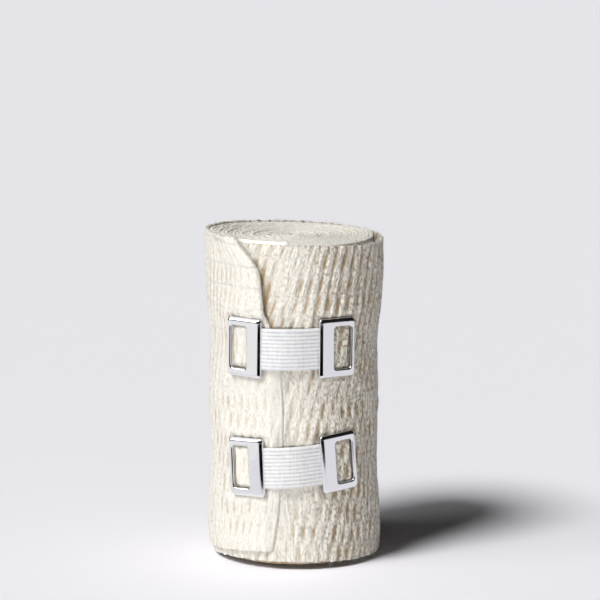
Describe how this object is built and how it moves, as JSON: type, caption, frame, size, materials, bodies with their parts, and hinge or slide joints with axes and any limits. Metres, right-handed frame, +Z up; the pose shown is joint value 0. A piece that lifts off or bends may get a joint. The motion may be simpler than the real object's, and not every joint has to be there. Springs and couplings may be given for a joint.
{
  "type": "support bandage",
  "caption": "Rolled crepe support bandage standing on its end, its last turn crinkled into ribs and held in front by elastic clips with windowed metal end plates.",
  "frame": {"origin": "bottom centre of the whole object's bounding box, on the plane the roll stands on", "axes": "+Z up along the roll's axis, -Y out of the front where the clips are, +X to the right seen from the front"},
  "size_m": [0.0548, 0.0546, 0.1022],
  "materials": {
    "crepe_cloth": "unbleached cotton crepe, matt and crinkled",
    "white_elastic": "white ribbed elastic",
    "plated_metal": "bright plated pressed sheet"
  },
  "bodies": {
    "root": {"bandage_strip": "crepe_cloth", "upper_elastic_band": "white_elastic", "upper_left_end_plate": "plated_metal", "upper_right_end_plate": "plated_metal", "lower_elastic_band": "white_elastic", "lower_left_end_plate": "plated_metal", "lower_right_end_plate": "plated_metal"}
  },
  "joints": []
}
